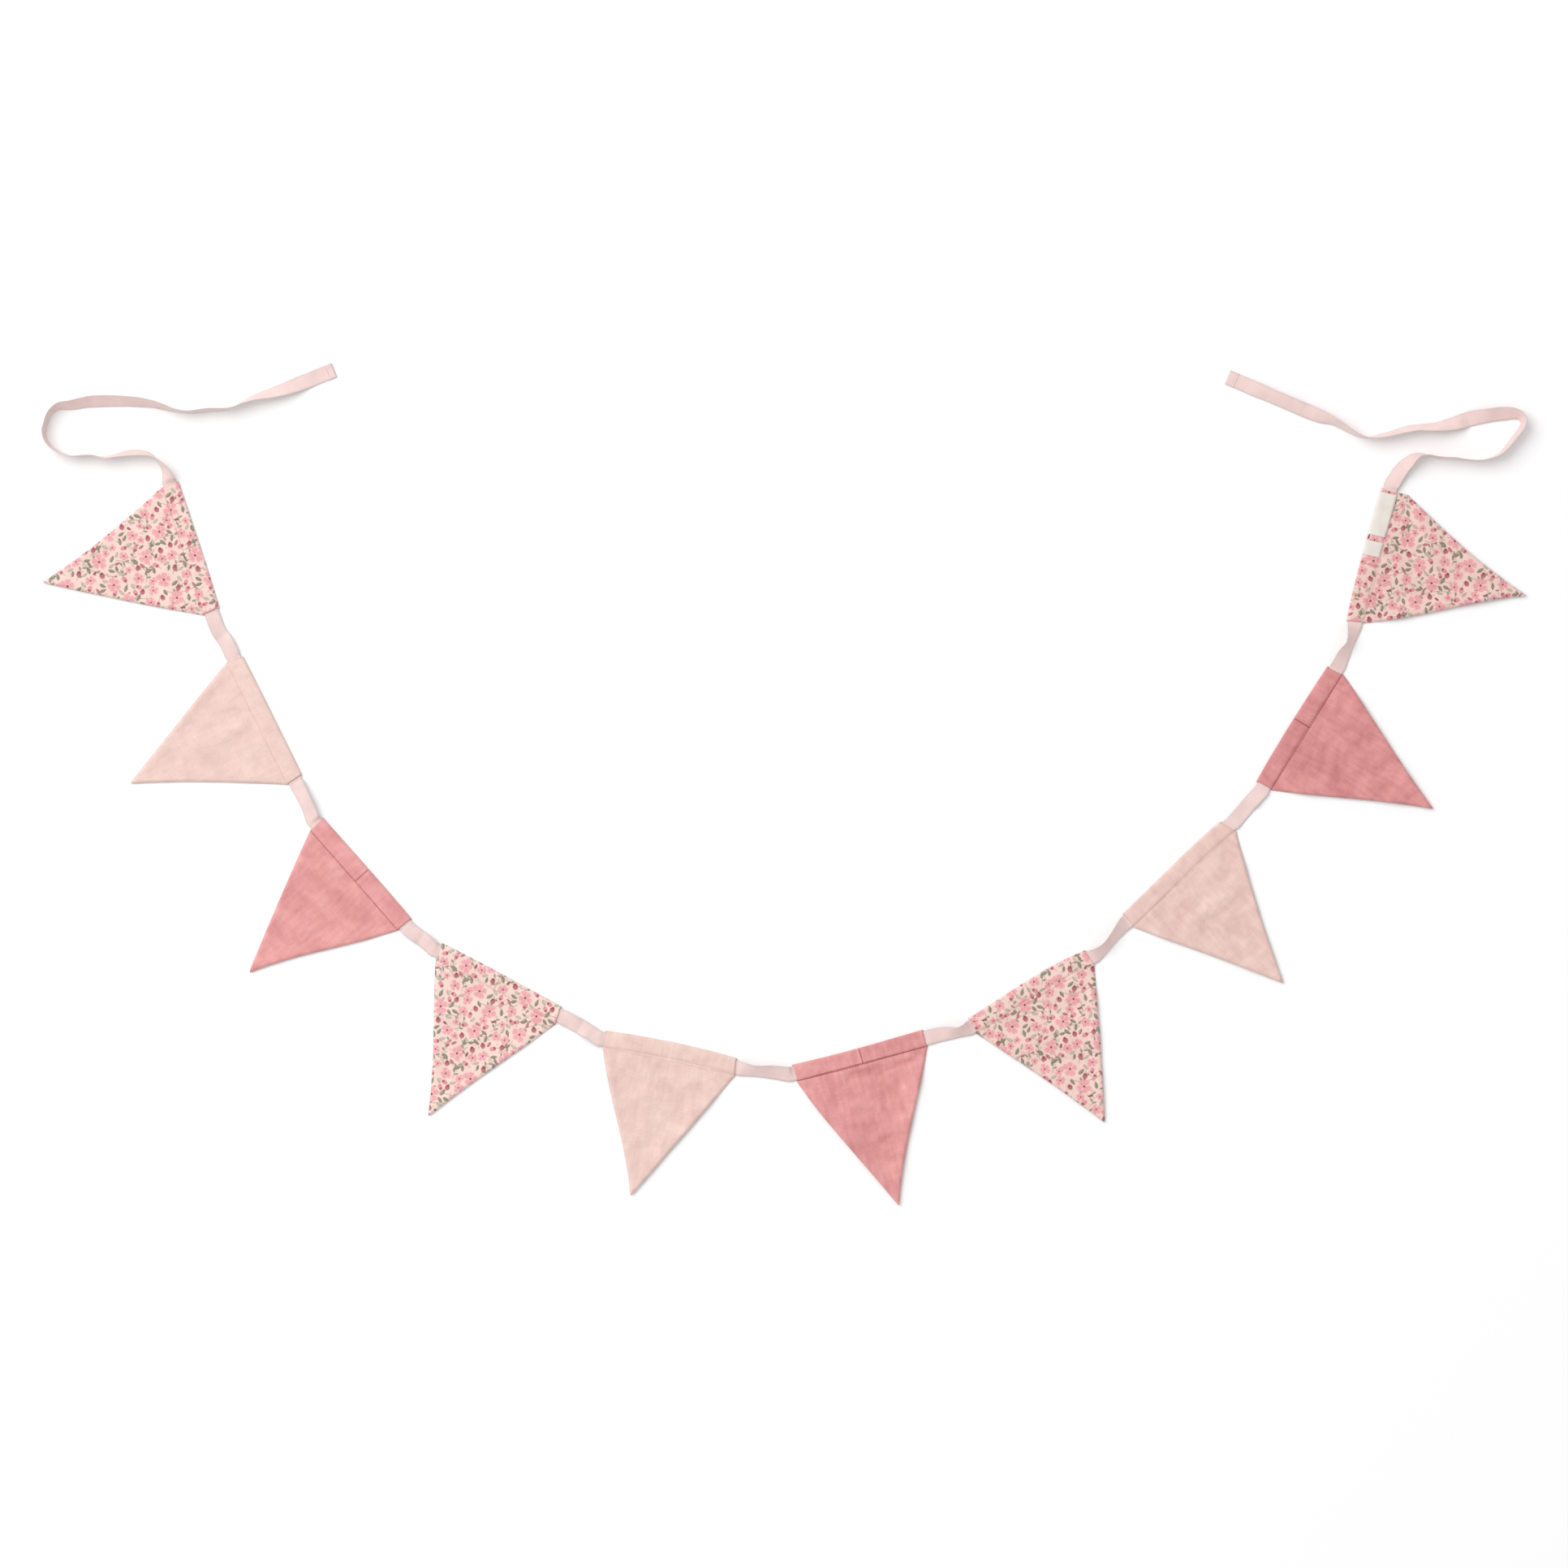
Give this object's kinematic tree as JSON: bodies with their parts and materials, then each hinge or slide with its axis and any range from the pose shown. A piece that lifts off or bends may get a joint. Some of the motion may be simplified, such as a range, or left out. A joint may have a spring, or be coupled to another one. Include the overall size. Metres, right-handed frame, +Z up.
{
  "type": "fabric bunting",
  "caption": "String of sewn triangular cloth pennants on a cotton tape with free tie ends, laid flat in a swag.",
  "frame": {"origin": "centre of the laid-out shape, on the surface that it lies on", "axes": "+X from the left tie to the right tie, +Y toward the tie ends, +Z up from the surface"},
  "size_m": [1.4809, 0.8406, 0.015],
  "materials": {
    "tape": "matt woven cotton tape",
    "floral_cloth": "matt plain-weave cotton, printed with a small floral",
    "blush_cloth": "matt crinkled double gauze",
    "rose_cloth": "matt crinkled double gauze",
    "label_cloth": "matt woven label, bare"
  },
  "bodies": {
    "root": {"ribbon": "tape", "flag_01": "floral_cloth", "flag_02": "blush_cloth", "flag_03": "rose_cloth", "flag_04": "floral_cloth", "flag_05": "blush_cloth", "flag_06": "rose_cloth", "flag_07": "floral_cloth", "flag_08": "blush_cloth", "flag_09": "rose_cloth", "flag_10": "floral_cloth", "label_long": "label_cloth", "label_small": "label_cloth"}
  },
  "joints": []
}
